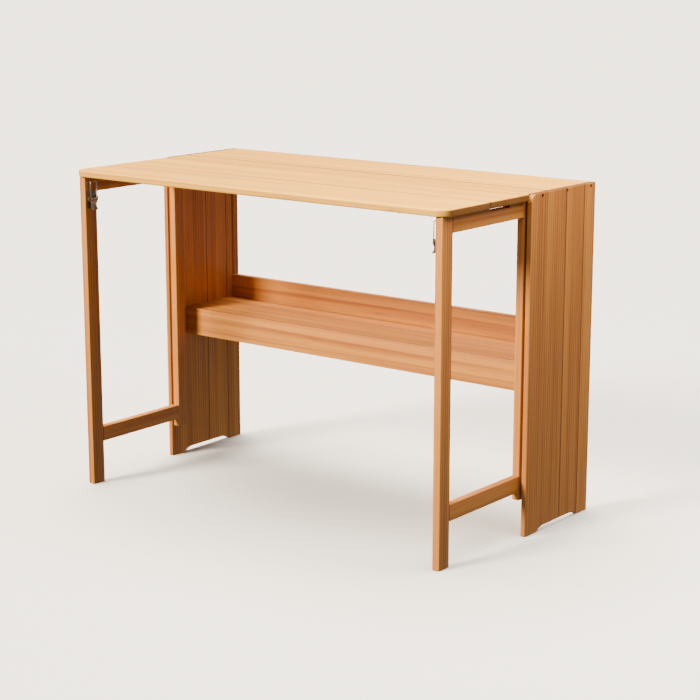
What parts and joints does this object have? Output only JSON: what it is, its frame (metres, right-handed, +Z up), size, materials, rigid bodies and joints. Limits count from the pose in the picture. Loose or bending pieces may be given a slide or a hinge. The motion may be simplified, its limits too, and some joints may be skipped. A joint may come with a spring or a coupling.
{
  "type": "gateleg table",
  "caption": "Narrow gateleg table of warm wood: board end panels, a fixed top with a hinged front leaf held up by two swinging gates, a latch on each gate, and a low shelf.",
  "frame": {"origin": "on the floor, under the middle of the table with the leaf up (bounding box bottom centre)", "axes": "+X to the right along the table's length, +Y to the back, away from the leaf, +Z up"},
  "size_m": [1.06, 0.562, 0.75],
  "materials": {
    "pale_wood": "satin lacquer",
    "warm_wood": "satin lacquer",
    "steel": "zinc plated",
    "dark_steel": "blackened"
  },
  "bodies": {
    "frame": {"fixed_top": "pale_wood", "shelf_apron": "warm_wood", "shelf_board": "warm_wood", "back_rail": "warm_wood", "leaf_hinge_left_top_plate": "steel", "leaf_hinge_middle_top_plate": "steel", "leaf_hinge_right_top_plate": "steel", "leaf_hinge_left_pin": "steel", "leaf_hinge_middle_pin": "steel", "leaf_hinge_right_pin": "steel", "left_end_panel": "warm_wood", "left_screw_front": "dark_steel", "left_screw_middle": "dark_steel", "left_screw_rear": "dark_steel", "left_lower_hinge_panel_plate": "steel", "left_lower_hinge_pin": "steel", "left_upper_hinge_panel_plate": "steel", "left_upper_hinge_pin": "steel", "right_end_panel": "warm_wood", "right_screw_front": "dark_steel", "right_screw_middle": "dark_steel", "right_screw_rear": "dark_steel", "right_lower_hinge_panel_plate": "steel", "right_lower_hinge_pin": "steel", "right_upper_hinge_panel_plate": "steel", "right_upper_hinge_pin": "steel"},
    "leaf_board": {"leaf": "pale_wood", "leaf_hinge_left_leaf_plate": "steel", "leaf_hinge_middle_leaf_plate": "steel", "leaf_hinge_right_leaf_plate": "steel"},
    "left_gate": {"left_outer_leg": "pale_wood", "left_inner_post": "pale_wood", "left_top_rail": "warm_wood", "left_lower_rail": "warm_wood", "left_lower_hinge_post_plate": "steel", "left_upper_hinge_post_plate": "steel", "left_latch_base": "steel", "left_latch_pin": "steel"},
    "left_lever": {"left_latch_lever": "steel"},
    "left_loop": {"left_latch_loop": "steel"},
    "right_gate": {"right_outer_leg": "pale_wood", "right_inner_post": "pale_wood", "right_top_rail": "warm_wood", "right_lower_rail": "warm_wood", "right_lower_hinge_post_plate": "steel", "right_upper_hinge_post_plate": "steel", "right_latch_base": "steel", "right_latch_pin": "steel"},
    "right_lever": {"right_latch_lever": "steel"},
    "right_loop": {"right_latch_loop": "steel"}
  },
  "joints": [
    {"name": "leaf_lift", "type": "hinge", "parent": "frame", "child": "leaf_board", "pos_m": [0, 0.0225, 0.7318], "axis": [-1, 0, 0], "range_deg": [0, 2.5]},
    {"name": "left_gate_swing", "type": "hinge", "parent": "frame", "child": "left_gate", "pos_m": [-0.5148, 0.0562, 0.4], "axis": [0, 0, 1], "range_deg": [0, 90]},
    {"name": "right_gate_swing", "type": "hinge", "parent": "frame", "child": "right_gate", "pos_m": [0.5148, 0.0562, 0.4], "axis": [0, 0, -1], "range_deg": [0, 90]},
    {"name": "left_lever_turn", "type": "hinge", "parent": "left_gate", "child": "left_lever", "pos_m": [-0.4875, -0.255, 0.684], "axis": [0, -1, 0], "range_deg": [0, 90]},
    {"name": "left_loop_turn", "type": "hinge", "parent": "left_lever", "child": "left_loop", "pos_m": [-0.4845, -0.255, 0.6765], "axis": [0, -1, 0], "range_deg": [-120, 0]},
    {"name": "right_lever_turn", "type": "hinge", "parent": "right_gate", "child": "right_lever", "pos_m": [0.4875, -0.255, 0.684], "axis": [0, 1, 0], "range_deg": [0, 90]},
    {"name": "right_loop_turn", "type": "hinge", "parent": "right_lever", "child": "right_loop", "pos_m": [0.4845, -0.255, 0.6765], "axis": [0, 1, 0], "range_deg": [-120, 0]}
  ],
  "couplings": [
    {"joint": "left_loop_turn", "follows": "left_lever_turn", "ratio": -1.3},
    {"joint": "right_loop_turn", "follows": "right_lever_turn", "ratio": -1.3}
  ]
}
